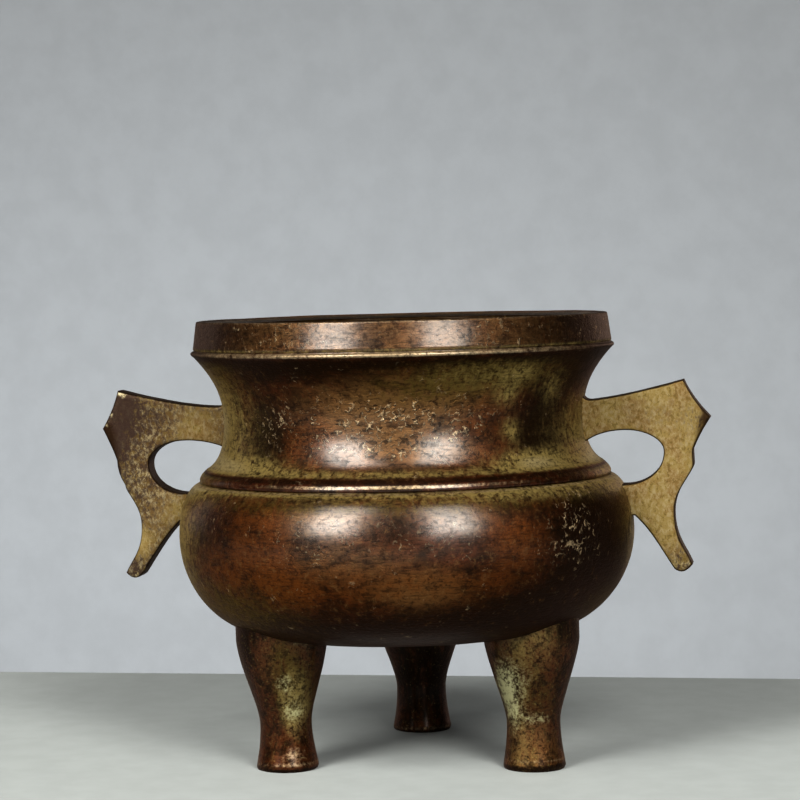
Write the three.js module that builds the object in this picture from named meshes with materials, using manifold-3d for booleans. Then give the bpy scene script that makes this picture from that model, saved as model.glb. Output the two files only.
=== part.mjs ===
// A cast copper incense burner on three legs, with a halberd-shaped ear on each side.
// Millimetres, +Z up. The ears lie along X, one leg stands at the back (+Y), and the soles are on z = 0.
// The bowl, the two ears and the three legs are cast apart. Each ear has two tenons and each leg has one,
// and they pass through mortises in the bowl's wall and floor.
import * as THREE from "three";
import { mergeVertices } from "three/addons/utils/BufferGeometryUtils.js";
import Module from "manifold-3d";

const wasm = await Module();
wasm.setup();

const DEG = Math.PI / 180;

// How the burner stands: the old casting leans a little, so its legs differ in length
const LEAN_SIDE = 0.79 * DEG; // towards -X
const LEAN_BACK = 0.99 * DEG; // towards +Y
const STANCE = 33.1; // underside of the bowl above the soles, at the middle

// Bowl, heights from one feature to the next
const UNDERSIDE_RISE = 0.8; // middle of the underside to where the belly turns up
const BELLY_LOWER = 26.2; // up to the widest part
const BELLY_UPPER = 14.2; // up to the shoulder edge
const GROOVE_HEIGHT = 0.55; // the groove under the cord
const CORD_HEIGHT = 3.1; // the half-round cord
const THROAT_HEIGHT = 13; // top of the cord to the narrowest part of the neck
const FLARE_HEIGHT = 17.1; // narrowest part of the neck to the foot of the bead
const BEAD_HEIGHT = 2;
const RIM_HEIGHT = 7.35; // the upright band over the bead

// Bowl, outer radii
const FLAT_R = 36;
const BELLY_R = 60.7;
const SHOULDER_R = 55.4;
const CORD_R = 55.05;
const CORD_TUCK = 0.25; // the cord's foot, in from its widest
const CORD_TOP_R = 53;
const THROAT_R = 48;
const BEAD_R = 56.4;
const BEAD_TUCK = 0.8; // the bead's foot, in from its widest
const RIM_GROOVE = 0.35; // depth and half width of the line between the bead and the band
const RIM_FOOT_R = 55.7;
const RIM_TOP_R = 54.8;

// Bowl, walls
const WALL = 4.2;
const FLOOR = 4.8;
const LIP = 5.4; // thickness of the rim band
const LIP_ROUND = 0.6;
const LIP_FALL = 1.2; // the lip slopes down to the inside

// Ears. Points are [out from the bowl's widest radius, up from the top of the cord]. The pair was filed by
// eye, so each has its own outline.
const EAR_THICK = 7.6;
const EAR_BEVEL = 0.7;
const ARM_TOP = 16.4; // top edge of the upper arm at the neck
const ARM_FOOT = 5.6; // its lower edge, where the finger loop meets the neck
const CROTCH = 14.4; // the lower arm's lower edge, below the cord's top
const ROOT_FILLET = 1.4;
const TAIL_ROUND = 2; // how far the tail's end bulges
const FULLNESS = 0.56; // how square the finger loop's far end is, where 0.55 is an ellipse
const EARS = {
  ear_right: {
    turn: 0,
    brow: [-1.6, 17.2],
    corner: [14, 21.3],
    tip: [20.9, 11.3],
    hollow: [16.2, 2.9],
    knee: [16.3, -0.9],
    waist: [11, -13.6],
    tail: [15.5, -27.4],
    tailBack: [10.6, -28.6],
    loopFar: [8.5, 2.4],
    loopTop: 8.2,
    loopFoot: -6.1,
  },
  ear_left: {
    turn: Math.PI,
    brow: [-1.4, 16.4],
    corner: [16.6, 21.2],
    tip: [21.1, 11],
    hollow: [17.4, 2.4],
    knee: [15.3, -4.4],
    waist: [11.1, -15.4],
    tail: [15.7, -28.1],
    tailBack: [11.3, -28.6],
    loopFar: [8.6, 1.2],
    loopTop: 7.5,
    loopFoot: -6.8,
  },
};

// Legs
const LEG_INSET = 23.3; // the legs' middles, in from the bowl's widest radius
const LEG_TURN = 4.5 * DEG; // the legs were set a little out of line with the ears
const LEG_SHIFT = 0.75; // and off the bowl's middle, towards +X
const SOLE_R = 8.1;
const SOLE_ROUND = 0.9;
const WAIST_HEIGHT = 12;
const THIGH_RISE = 0.9; // the widest part, above the middle of the bowl's underside
const BACK_WAIST_R = 6.9;
const BACK_THIGH_R = 12.8;
const LEFT_WAIST_R = 6.8;
const LEFT_THIGH_R = 12;
const RIGHT_WAIST_R = 7;
const RIGHT_THIGH_R = 12.5;
const LEGS = [
  { name: "leg_back", angle: 90 * DEG, waist: BACK_WAIST_R, thigh: BACK_THIGH_R, rake: 0.2 * DEG },
  { name: "leg_left", angle: 210 * DEG, waist: LEFT_WAIST_R, thigh: LEFT_THIGH_R, rake: 1.3 * DEG },
  { name: "leg_right", angle: 330 * DEG, waist: RIGHT_WAIST_R, thigh: RIGHT_THIGH_R, rake: 0.3 * DEG },
];

// Joints
const SEAT_GAP = 0.3; // between a piece and the wall it is fitted to, and round each tenon
const EAR_TENON_HEIGHT = 4.6;
const EAR_TENON_THICK = 4;
const LEG_TENON_R = 4;
const TENON_SHORT = 0.4; // how far a tenon stops below the inner face

// Facets
const BOWL_SIDES = 60;
const LEG_SIDES = 24;
const TENON_SIDES = 16;
const EAR_STEPS = 6; // in each curve of an ear's outline

// Heights of the bowl's features above the soles
const turnZ = STANCE + UNDERSIDE_RISE;
const widestZ = turnZ + BELLY_LOWER;
const shoulderZ = widestZ + BELLY_UPPER;
const cordZ = shoulderZ + GROOVE_HEIGHT;
const cordTopZ = cordZ + CORD_HEIGHT;
const throatZ = cordTopZ + THROAT_HEIGHT;
const beadZ = throatZ + FLARE_HEIGHT;
const rimZ = beadZ + BEAD_HEIGHT;
const lipZ = rimZ + RIM_HEIGHT;
const floorZ = STANCE + FLOOR;

const legCircleR = BELLY_R - LEG_INSET;

const point = (r, z) => new THREE.Vector2(r, z);

// A point part of the way from a to b, with its own share in each direction.
const between = (a, b, shareR, shareZ) => point(a.x + (b.x - a.x) * shareR, a.y + (b.y - a.y) * shareZ);

// A curve with one handle or two between its end points.
function bend(steps, ...points) {
  const Curve = points.length === 4 ? THREE.CubicBezierCurve : THREE.QuadraticBezierCurve;
  return new Curve(...points).getPoints(steps);
}

// A quarter of an ellipse about (FLAT_R, widestZ), from one angle to the other.
function quarter(steps, acrossR, acrossZ, from, to) {
  return new THREE.EllipseCurve(FLAT_R, widestZ, acrossR, acrossZ, from, to, from > to).getPoints(steps);
}

// Joins curves end to end, leaving out the points that they share.
function chain(...curves) {
  const all = curves.flat();
  return all.filter((p, i) => i === 0 || p.distanceTo(all[i - 1]) > 1e-4);
}

// The bowl's outer face, from the middle of the underside up to the lip.
function outerProfile() {
  const turn = point(FLAT_R, turnZ);
  const widest = point(BELLY_R, widestZ);
  const shoulder = point(SHOULDER_R, shoulderZ);
  const groove = point(SHOULDER_R - 2 * GROOVE_HEIGHT, shoulderZ + 0.6 * GROOVE_HEIGHT);
  const cordFoot = point(CORD_R - CORD_TUCK, cordZ);
  const cordTop = point(CORD_TOP_R, cordTopZ);
  const throat = point(THROAT_R, throatZ);
  const beadFoot = point(BEAD_R - BEAD_TUCK, beadZ);
  const beadTop = point(RIM_FOOT_R - RIM_GROOVE, rimZ - RIM_GROOVE);
  const rimFoot = point(RIM_FOOT_R, rimZ);
  const rimTop = point(RIM_TOP_R, lipZ - LIP_ROUND);
  const lip = point(RIM_TOP_R - LIP_ROUND, lipZ);
  return chain(
    bend(2, point(0, STANCE), point(FLAT_R / 2, STANCE), turn),
    quarter(10, BELLY_R - FLAT_R, BELLY_LOWER, -Math.PI / 2, 0),
    bend(6, widest, between(widest, shoulder, 0, 0.62), between(widest, shoulder, 0.55, 0.94), shoulder),
    [groove],
    bend(4, cordFoot, point(2 * CORD_R - cordFoot.x, cordZ + 0.4 * CORD_HEIGHT), cordTop),
    bend(5, cordTop, between(cordTop, throat, 0.72, 0.15), between(cordTop, throat, 1, 0.5), throat),
    bend(7, throat, between(throat, beadFoot, 0, 0.38), between(throat, beadFoot, 0.34, 0.68), beadFoot),
    bend(3, beadFoot, point(2 * BEAD_R - beadFoot.x, beadZ + 0.5 * BEAD_HEIGHT), beadTop),
    [rimFoot],
    bend(2, rimTop, point(RIM_TOP_R, lipZ), lip),
  );
}

// The bowl's inner face, from the lip down to the middle of the floor.
function innerProfile() {
  const bandTop = point(RIM_TOP_R - LIP, lipZ - LIP_FALL);
  const bandFoot = point(RIM_TOP_R - LIP, beadZ);
  const throat = point(THROAT_R - WALL, throatZ);
  const underCord = point(CORD_TOP_R - WALL, cordZ);
  const widest = point(BELLY_R - WALL, widestZ);
  return chain(
    [bandTop],
    bend(4, bandFoot, between(bandFoot, throat, 0.9, 0.3), between(bandFoot, throat, 1, 0.6), throat),
    bend(4, throat, between(throat, underCord, 0, 0.5), between(throat, underCord, 0.3, 0.8), underCord),
    bend(3, underCord, between(underCord, widest, 0.7, 0.05), between(underCord, widest, 1, 0.4), widest),
    quarter(6, BELLY_R - WALL - FLAT_R, widestZ - floorZ - UNDERSIDE_RISE, 0, -Math.PI / 2),
    [point(0, floorZ)],
  );
}

// The radius of a profile at height z, and the height at radius r of the inner profile's floor.
function crossing(profile, i, value, from, to) {
  const [a, b] = [profile[i - 1], profile[i]];
  return a[to] + ((value - a[from]) / (b[from] - a[from])) * (b[to] - a[to]);
}

function spans(profile, value, from) {
  return (p, i) => i > 0 && (profile[i - 1][from] - value) * (p[from] - value) <= 0;
}

function radiusAt(profile, z) {
  return crossing(profile, profile.findIndex(spans(profile, z, "y")), z, "y", "x");
}

function floorAt(profile, r) {
  return crossing(profile, profile.findLastIndex(spans(profile, r, "x")), r, "x", "y");
}

// A profile moved out by a distance, square to itself.
function grown(profile, distance) {
  return profile.map((p, i) => {
    const [before, after] = [profile[Math.max(i - 1, 0)], profile[Math.min(i + 1, profile.length - 1)]];
    const along = after.clone().sub(before).normalize();
    return point(p.x + along.y * distance, p.y - along.x * distance);
  });
}

// Turns a profile of radii and heights about Z.
function turned(profile, sides) {
  return new THREE.LatheGeometry(profile, sides).rotateX(Math.PI / 2);
}

function solidOf(geometry) {
  const plain = geometry.clone();
  plain.deleteAttribute("normal");
  plain.deleteAttribute("uv");
  const merged = mergeVertices(plain, 1e-4);
  return new wasm.Manifold(
    new wasm.Mesh({
      numProp: 3,
      vertProperties: merged.getAttribute("position").array,
      triVerts: new Uint32Array(merged.index.array),
    }),
  );
}

function geometryOf(solid) {
  const mesh = solid.getMesh();
  const geometry = new THREE.BufferGeometry();
  geometry.setAttribute("position", new THREE.BufferAttribute(mesh.vertProperties, 3));
  geometry.setIndex(new THREE.BufferAttribute(mesh.triVerts, 1));
  geometry.computeVertexNormals();
  return geometry;
}

// A block from one corner to the other.
function block(low, high) {
  const size = new THREE.Vector3().subVectors(high, low);
  const middle = new THREE.Vector3().addVectors(low, high).multiplyScalar(0.5);
  return new THREE.BoxGeometry(size.x, size.y, size.z).translate(middle.x, middle.y, middle.z);
}

const outer = outerProfile();
const inner = innerProfile();

// What a fitted piece is cut by: the bowl without its hollow, grown by the seat gap.
function clearanceShape() {
  const skin = grown(outer, SEAT_GAP);
  skin[0].x = 0;
  skin.push(point(skin.at(-1).x, lipZ + SEAT_GAP), point(0, lipZ + SEAT_GAP));
  return turned(skin, BOWL_SIDES);
}

// The two tenons of an ear, on the +X side, each grown by a clearance. A cutter also runs on into the hollow.
function earTenons(ear, clearance, cutter) {
  const upperZ = cordTopZ + (ARM_TOP + ARM_FOOT) / 2;
  const lowerZ = cordTopZ + (ear.loopFoot - CROTCH) / 2;
  return [upperZ, lowerZ].map((z) => {
    const start = radiusAt(inner, z) + (cutter ? -WALL : TENON_SHORT);
    const end = radiusAt(outer, z) + (cutter ? WALL : ROOT_FILLET + 2 * SEAT_GAP);
    const halfThick = EAR_TENON_THICK / 2 + clearance;
    const halfHeight = EAR_TENON_HEIGHT / 2 + clearance;
    return block(
      new THREE.Vector3(start, -halfThick, z - halfHeight),
      new THREE.Vector3(end, halfThick, z + halfHeight),
    );
  });
}

// The outline of an ear in its own plane: x runs out from the bowl's axis, and y runs up.
function earOutline(ear) {
  const at = ([out, up]) => point(BELLY_R + out, cordTopZ + up);
  const shape = new THREE.Shape();
  const line = (...points) => points.forEach((p) => shape.lineTo(p.x, p.y));
  const bow = (handle, end) => shape.quadraticCurveTo(handle.x, handle.y, end.x, end.y);
  const sweep = (a, b, end) => shape.bezierCurveTo(a.x, a.y, b.x, b.y, end.x, end.y);
  const [brow, corner, tip, hollow] = [ear.brow, ear.corner, ear.tip, ear.hollow].map(at);
  const [knee, waist, tail, tailBack] = [ear.knee, ear.waist, ear.tail, ear.tailBack].map(at);
  const armTop = point(radiusAt(outer, cordTopZ + ARM_TOP), cordTopZ + ARM_TOP);
  const armFoot = point(radiusAt(outer, cordTopZ + ARM_FOOT), cordTopZ + ARM_FOOT);
  const crotch = point(radiusAt(outer, cordTopZ - CROTCH) + ROOT_FILLET / 2, cordTopZ - CROTCH);
  const far = at(ear.loopFar);
  const loopTop = point((armFoot.x + far.x) / 2, cordTopZ + ear.loopTop);
  const loopFoot = point(loopTop.x, cordTopZ + ear.loopFoot);
  const inNeck = THROAT_R - WALL;
  const inBelly = SHOULDER_R - WALL;

  shape.moveTo(inNeck, armTop.y + ROOT_FILLET);
  line(point(armTop.x, armTop.y + ROOT_FILLET));
  bow(point(armTop.x + ROOT_FILLET / 4, armTop.y), point(armTop.x + 1.5 * ROOT_FILLET, armTop.y));
  bow(brow, corner);
  bow(between(corner, tip, 0.3, 0.5), tip);
  bow(between(hollow, tip, 0.4, 0.5), hollow);
  bow(between(hollow, knee, 0, 0.5), knee);
  sweep(between(knee, waist, 0, 0.17), between(knee, waist, 1, 0.5), waist);
  sweep(between(waist, tail, 0, 0.5), between(waist, tail, 0.55, 0.65), tail);
  bow(point((tail.x + tailBack.x) / 2, tailBack.y - TAIL_ROUND), tailBack);
  sweep(between(tailBack, crotch, 0.2, 0.21), between(tailBack, crotch, 0.54, 0.68), crotch);
  line(point(inBelly, crotch.y), point(inBelly, loopFoot.y), loopFoot);
  sweep(between(loopFoot, far, FULLNESS, 0), between(far, loopFoot, 0, FULLNESS), far);
  sweep(between(far, loopTop, 0, FULLNESS), between(loopTop, far, FULLNESS, 0), loopTop);
  bow(between(armFoot, loopTop, 0.4, 1), armFoot);
  line(point(inNeck, armFoot.y));
  shape.closePath();
  return shape;
}

// One ear on the +X side, scribed to the neck, the shoulder and the belly.
function earGeometry(ear) {
  const plate = new THREE.ExtrudeGeometry(earOutline(ear), {
    depth: EAR_THICK - 2 * EAR_BEVEL,
    bevelThickness: EAR_BEVEL,
    bevelSize: EAR_BEVEL,
    bevelOffset: -EAR_BEVEL,
    bevelSegments: 2,
    curveSegments: EAR_STEPS,
  })
    .translate(0, 0, -EAR_THICK / 2 + EAR_BEVEL)
    .rotateX(Math.PI / 2);
  const scribed = solidOf(plate).subtract(solidOf(clearanceShape()));
  const body = scribed.decompose().sort((a, b) => b.volume() - a.volume())[0];
  return geometryOf(earTenons(ear, 0, false).reduce((whole, tenon) => whole.add(solidOf(tenon)), body));
}

const lean = new THREE.Euler(-LEAN_BACK, -LEAN_SIDE, 0);

// The height of the ground in the bowl's leaning frame.
const groundAt = (x, y) => (y * Math.tan(LEAN_BACK) - x * Math.sin(LEAN_SIDE)) / Math.cos(LEAN_SIDE);

// Each leg's place: the matrix takes its own frame, with z = 0 on the sole, to the bowl's frame.
function legPlaces() {
  return LEGS.map((leg) => {
    const x = legCircleR * Math.cos(leg.angle + LEG_TURN) + LEG_SHIFT;
    const y = legCircleR * Math.sin(leg.angle + LEG_TURN);
    const position = new THREE.Vector3(x, y, groundAt(x, y));
    const rotation = new THREE.Euler(0, -leg.rake, 0);
    const matrix = new THREE.Matrix4().makeRotationFromEuler(rotation).setPosition(position);
    return { ...leg, position, rotation, matrix };
  });
}

// A leg's tenon in the leg's own frame, grown by a clearance.
function legTenon(clearance, topZ) {
  const radius = LEG_TENON_R + clearance;
  const footZ = STANCE - FLOOR;
  return turned([point(0, footZ), point(radius, footZ), point(radius, topZ), point(0, topZ)], TENON_SIDES);
}

function legProfile(leg) {
  const buried = -2 * SOLE_R * Math.tan(LEAN_SIDE + LEAN_BACK + leg.rake);
  const sole = point(SOLE_R, SOLE_ROUND);
  const waist = point(leg.waist, WAIST_HEIGHT);
  const thigh = point(leg.thigh, STANCE + THIGH_RISE);
  return chain(
    [point(0, buried), point(SOLE_R - SOLE_ROUND, buried)],
    bend(3, point(SOLE_R - SOLE_ROUND, 0), point(SOLE_R, 0), sole),
    bend(4, sole, between(sole, waist, 0.5, 0.3), between(sole, waist, 1, 0.6), waist),
    bend(7, waist, between(waist, thigh, 0, 0.22), between(waist, thigh, 0.86, 0.66), thigh),
    [point(leg.thigh, widestZ), point(0, widestZ)],
  );
}

// One leg in its own frame: coped to the bowl's underside and cut level with the ground.
function legGeometry(leg) {
  const toLeg = leg.matrix.clone().invert();
  const ground = block(new THREE.Vector3(-BELLY_R, -BELLY_R, -STANCE), new THREE.Vector3(BELLY_R, BELLY_R, 0))
    .applyMatrix4(new THREE.Matrix4().makeRotationFromEuler(lean).invert())
    .applyMatrix4(toLeg);
  const coped = solidOf(turned(legProfile(leg), LEG_SIDES))
    .subtract(solidOf(clearanceShape().applyMatrix4(toLeg)))
    .subtract(solidOf(ground));
  const body = coped.decompose().sort((a, b) => b.volume() - a.volume())[0];
  const tenonTop = floorAt(inner, legCircleR) - leg.position.z - TENON_SHORT;
  return geometryOf(body.add(solidOf(legTenon(0, tenonTop))));
}

// The bowl with its hollow and its mortises, four for the ears and three for the legs.
function bowlGeometry(legs) {
  const cutters = legs.map((leg) => legTenon(SEAT_GAP, floorZ + FLOOR).applyMatrix4(leg.matrix));
  for (const ear of Object.values(EARS)) {
    cutters.push(...earTenons(ear, SEAT_GAP, true).map((cutter) => cutter.rotateZ(ear.turn)));
  }
  const shell = solidOf(turned([...outer, ...inner], BOWL_SIDES));
  return geometryOf(cutters.reduce((bowl, cutter) => bowl.subtract(solidOf(cutter)), shell));
}

function piece(name, geometry, color, roughness, metalness) {
  const mesh = new THREE.Mesh(geometry, new THREE.MeshStandardMaterial({ color, roughness, metalness }));
  mesh.name = name;
  return mesh;
}

function burner() {
  const legs = legPlaces();
  const leaning = new THREE.Group();
  leaning.rotation.copy(lean);
  leaning.add(piece("bowl", bowlGeometry(legs), 0x5b3420, 0.38, 0.9));
  for (const [name, ear] of Object.entries(EARS)) {
    const mesh = piece(name, earGeometry(ear), 0x8c7a46, 0.6, 0.6);
    mesh.rotation.z = ear.turn;
    leaning.add(mesh);
  }
  for (const leg of legs) {
    const mesh = piece(leg.name, legGeometry(leg), 0x6b5234, 0.45, 0.8);
    mesh.position.copy(leg.position);
    mesh.rotation.copy(leg.rotation);
    leaning.add(mesh);
  }
  const centred = new THREE.Group();
  centred.add(leaning);
  const middle = new THREE.Box3().setFromObject(centred, true).getCenter(new THREE.Vector3());
  leaning.position.set(-middle.x, -middle.y, 0);
  return centred;
}

export default burner();
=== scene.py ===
import math
from types import SimpleNamespace

import bmesh
import bpy
from bpy.props import FloatProperty, FloatVectorProperty, PointerProperty
from mathutils import Matrix, Vector, noise
from mathutils.geometry import interpolate_bezier


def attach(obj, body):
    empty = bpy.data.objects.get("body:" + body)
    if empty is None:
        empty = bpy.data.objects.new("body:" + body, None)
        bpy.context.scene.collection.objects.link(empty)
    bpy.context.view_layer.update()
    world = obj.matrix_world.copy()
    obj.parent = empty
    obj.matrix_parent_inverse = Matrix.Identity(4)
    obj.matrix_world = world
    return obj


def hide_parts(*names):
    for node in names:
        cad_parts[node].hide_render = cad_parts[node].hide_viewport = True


bl_info = {
    "name": "Copper Tripod Incense Burner",
    "version": (1, 0, 0),
    "blender": (4, 5, 0),
    "location": "3D View > Sidebar > Burner",
    "description": "Builds the bowl, ears and legs of a cast incense burner with a waxed and earthy patina",
    "category": "Object",
}

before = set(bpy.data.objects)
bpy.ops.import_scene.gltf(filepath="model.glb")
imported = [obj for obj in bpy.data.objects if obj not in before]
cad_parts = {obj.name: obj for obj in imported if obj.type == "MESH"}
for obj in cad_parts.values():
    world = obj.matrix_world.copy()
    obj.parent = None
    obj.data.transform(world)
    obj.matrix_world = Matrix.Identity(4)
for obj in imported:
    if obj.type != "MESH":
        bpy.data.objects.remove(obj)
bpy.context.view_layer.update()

MM = 0.001

# The burner leans to the left and to the back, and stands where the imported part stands
LEAN_SIDE = math.radians(0.79)
LEAN_BACK = math.radians(0.99)
LEAN_TURN = (Matrix.Rotation(-LEAN_BACK, 3, "X") @ Matrix.Rotation(-LEAN_SIDE, 3, "Y")).to_euler()
LEAN_PLACE = Vector((1.3285, -1.0383, 0)) * MM
LEAN = Matrix.Translation(LEAN_PLACE) @ LEAN_TURN.to_matrix().to_4x4()

# Where the picture was taken from, in metres
CAMERA_PLACE = Vector((0.10352, -0.73854, 0.14494))
CAMERA_AHEAD = Vector((-0.1395975, 0.98795984, -0.06669249))
CAMERA_UP = Vector((0.00488894, 0.06803882, 0.9976707))

# The camera's sensor and focal length, in millimetres
SENSOR = 36
LENS = 126

# Where the soft boxes point, in metres, and the warm white of their light
AIM = Vector((0, 0, 0.07))
WARM_WHITE = (1, 0.95, 0.88)

# How finely the pieces are divided
BOWL_STEPS = 256
LEG_STEPS = 96
EAR_SLICE = 1.6 * MM

# Ripples of the hand-finished casting, in millimetres across
WIDE_RIPPLE = 17
CLOSE_RIPPLE = 5

# Patina takes the blue out of what it mirrors
WARM = (1, 0.55, 0.3, 1)

# Wax over metal shines more than wax alone
WAX_IOR = 1.75


def linear(code):
    """An sRGB hex colour as linear RGB."""
    parts = [int(code[i : i + 2], 16) / 255 for i in (1, 3, 5)]
    return [c / 12.92 if c <= 0.04045 else ((c + 0.055) / 1.055) ** 2.4 for c in parts]


def length(name, description, value):
    return FloatProperty(
        name=name, description=description, default=value * MM, subtype="DISTANCE", unit="LENGTH"
    )


def tint(name, description, code):
    return FloatVectorProperty(
        name=name, description=description, default=(*linear(code), 1), size=4, subtype="COLOR",
        min=0, max=1,
    )


class BurnerBowlSizes(bpy.types.PropertyGroup):
    stance: length("Stance", "Underside of the bowl above the soles", 33.1)
    turn_z: length("Turn height", "Where the underside turns up into the belly", 33.9)
    widest_z: length("Widest height", "Height of the widest part of the belly", 60.1)
    shoulder_z: length("Shoulder height", "Height of the belly's upper edge", 74.3)
    cord_z: length("Cord height", "Foot of the half-round cord", 74.85)
    cord_top_z: length("Cord top height", "Crease between the cord and the neck", 77.95)
    throat_z: length("Throat height", "Narrowest part of the neck", 90.95)
    bead_z: length("Bead height", "Foot of the bead under the rim", 108.05)
    rim_z: length("Rim height", "Line between the bead and the rim band", 110.05)
    lip_z: length("Lip height", "Top of the rim band", 117.4)
    flat_r: length("Underside radius", "Radius at which the underside turns up", 36)
    belly_r: length("Belly radius", "Widest radius of the belly", 60.7)
    shoulder_r: length("Shoulder radius", "Radius of the belly's upper edge", 55.4)
    cord_r: length("Cord radius", "Widest radius of the cord", 55.05)
    cord_top_r: length("Cord top radius", "Radius of the crease above the cord", 53)
    throat_r: length("Throat radius", "Narrowest radius of the neck", 48)
    bead_r: length("Bead radius", "Widest radius of the bead", 56.4)
    rim_foot_r: length("Band foot radius", "Radius of the rim band at its foot", 55.7)
    rim_top_r: length("Band top radius", "Radius of the rim band at the lip", 54.8)
    groove: length("Groove", "Depth of the groove under the cord", 1.1)
    cord_tuck: length("Cord tuck", "How far the cord's foot is in from its widest", 0.25)
    bead_tuck: length("Bead tuck", "How far the bead's foot is in from its widest", 0.8)
    rim_line: length("Rim line", "Depth of the line between the bead and the rim band", 0.35)
    lip_round: length("Lip edge", "How far the lip's outer edge is rounded", 0.6)
    lip_inner_round: length("Inner lip edge", "How far the lip's inner edge is rounded", 0.5)
    wall: length("Wall", "Thickness of the neck and the belly", 4.2)
    floor: length("Floor", "Thickness of the floor", 4.8)
    lip: length("Lip", "Thickness of the rim band", 5.4)
    lip_fall: length("Lip fall", "How far the lip slopes down to the inside", 1.2)


class BurnerEarSizes(bpy.types.PropertyGroup):
    thick: length("Thickness", "Thickness of the ears", 7.6)
    edge: length("Edge", "How far the ears' edges are rounded", 0.7)
    arm_top: length("Upper arm top", "Top of the upper arm above the crease of the cord", 16.4)
    arm_foot: length("Upper arm foot", "Foot of the upper arm above the crease of the cord", 5.6)
    crotch: length("Crotch", "Foot of the lower arm below the crease of the cord", 14.4)
    fillet: length("Fillet", "Hollow corner between the upper arm and the neck", 1.4)
    root: length("Root", "How far an ear runs into the bowl's wall", 1.2)
    tail_bulge: length("Tail", "How far the curve of a tail's end is drawn out", 2)


class BurnerLegSizes(bpy.types.PropertyGroup):
    circle_r: length("Circle", "Radius of the circle that the legs stand on", 37.4)
    shift: length("Shift", "How far the legs are off the bowl's middle", 0.75)
    sole_r: length("Sole", "Radius of a sole", 8.1)
    sole_round: length("Sole edge", "How far the sole's edge is rounded", 0.9)
    waist_z: length("Waist height", "Narrowest part of a leg above the sole", 12)
    thigh_z: length("Thigh height", "Widest part of a leg above the sole", 34)
    head: length("Head", "How far a leg goes on above its widest part before it is coped", 12)
    sunk: length("Sunk", "How far a leg's head runs into the bowl", 1.2)
    spare: length("Spare", "How far a leg goes on below the soles before it is cut level", 0.6)


class BurnerColours(bpy.types.PropertyGroup):
    chestnut: tint("Chestnut", "Waxed copper brown of the belly", "#3e1c09")
    # Umber also stands for painted shade under the rim, inside the bowl and down the sides of the legs
    umber: tint("Umber", "Dark brown oxide in the shaded turns", "#0f0601")
    amber: tint("Amber", "Worn orange-brown where hands rub", "#57300f")
    # Bronze also stands for painted sheen round the highlights, and for a painted highlight on the top of the
    # lip at the back
    bronze: tint("Bronze", "Dusty light brown on the neck and feet", "#6b5030")
    # Copper also stands for painted highlight on the bead, the lip's edge, the cord, the left ear's brow and
    # the feet
    copper: tint("Copper", "Bare metal in scratches and on edges", "#b3a080")
    # Khaki and sand also stand for painted sheen at the bowl's far left and right
    khaki: tint("Khaki", "Dry earth deposit", "#7d6f43")
    sand: tint("Sand", "Palest grains of the deposit", "#9a9173")
    olive: tint("Olive", "Thin greenish deposit", "#433913")
    plum: tint("Plum", "Dark brown oxide on the left ear", "#241b19")
    verdigris: tint("Verdigris", "Pale green crust on the legs", "#a7a984")
    table: tint("Table", "Pale painted table", "#aeb7b9")
    paper: tint("Backdrop", "Pale grey paper behind the table", "#b9bfc4")


# Building shapes

def bend(steps, *points):
    """Points along a line, or a curve with one handle or two between its ends, the last point left out."""
    a, *handles, b = points
    if len(handles) < 2:
        middle = handles[0] if handles else a.lerp(b, 0.5)
        handles = [a.lerp(middle, 2 / 3), b.lerp(middle, 2 / 3)]
    return interpolate_bezier(a, *handles, b, steps + 1)[:-1]


def point(r, z):
    return Vector((r, 0, z))


def eased(steps, a, b, *handles):
    """A curve from a to b. Each handle is given as shares of the way from a to b, outwards and upwards."""
    way = b - a
    return bend(steps, a, *(a + point(way.x * out, way.z * up) for out, up in handles), b)


def quarter(steps, corner, a, b):
    """A quarter of an ellipse from a to b, bulging to the corner."""
    round_share = 0.5523
    return bend(steps, a, a.lerp(corner, round_share), b.lerp(corner, round_share), b)


def outer_profile(s):
    turn = point(s.flat_r, s.turn_z)
    widest = point(s.belly_r, s.widest_z)
    shoulder = point(s.shoulder_r, s.shoulder_z)
    groove = point(s.shoulder_r - s.groove, s.shoulder_z + 0.6 * (s.cord_z - s.shoulder_z))
    shoulder_edge = shoulder.lerp(groove, 0.5) + point(0.05 * MM, 0.1 * MM)
    cord_foot = point(s.cord_r - s.cord_tuck, s.cord_z)
    cord_top = point(s.cord_top_r, s.cord_top_z)
    throat = point(s.throat_r, s.throat_z)
    bead_foot = point(s.bead_r - s.bead_tuck, s.bead_z)
    bead_top = point(s.rim_foot_r - s.rim_line, s.rim_z - s.rim_line)
    rim_foot = point(s.rim_foot_r, s.rim_z)
    rim_top = point(s.rim_top_r, s.lip_z - s.lip_round)
    lip = point(s.rim_top_r - s.lip_round, s.lip_z)
    cord_bow = point(s.cord_r + s.cord_tuck, s.cord_z + 0.4 * (s.cord_top_z - s.cord_z))
    bead_bow = point(s.bead_r + s.bead_tuck, (s.bead_z + s.rim_z) / 2)
    return [
        *bend(28, point(0, s.stance), point(s.flat_r / 2, s.stance), turn),
        *quarter(34, point(s.belly_r, s.turn_z), turn, widest),
        *eased(16, widest, shoulder, (0, 0.62), (0.55, 0.94)),
        *bend(3, shoulder, shoulder_edge, groove),
        *bend(2, groove, cord_foot),
        *bend(10, cord_foot, cord_bow, cord_top),
        *eased(16, cord_top, throat, (0.72, 0.15), (1, 0.5)),
        *eased(20, throat, bead_foot, (0, 0.38), (0.34, 0.68)),
        *bend(7, bead_foot, bead_bow, bead_top),
        *bend(2, bead_top, rim_foot),
        *bend(9, rim_foot, rim_top),
        *bend(4, rim_top, point(s.rim_top_r, s.lip_z), lip),
    ]


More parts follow.
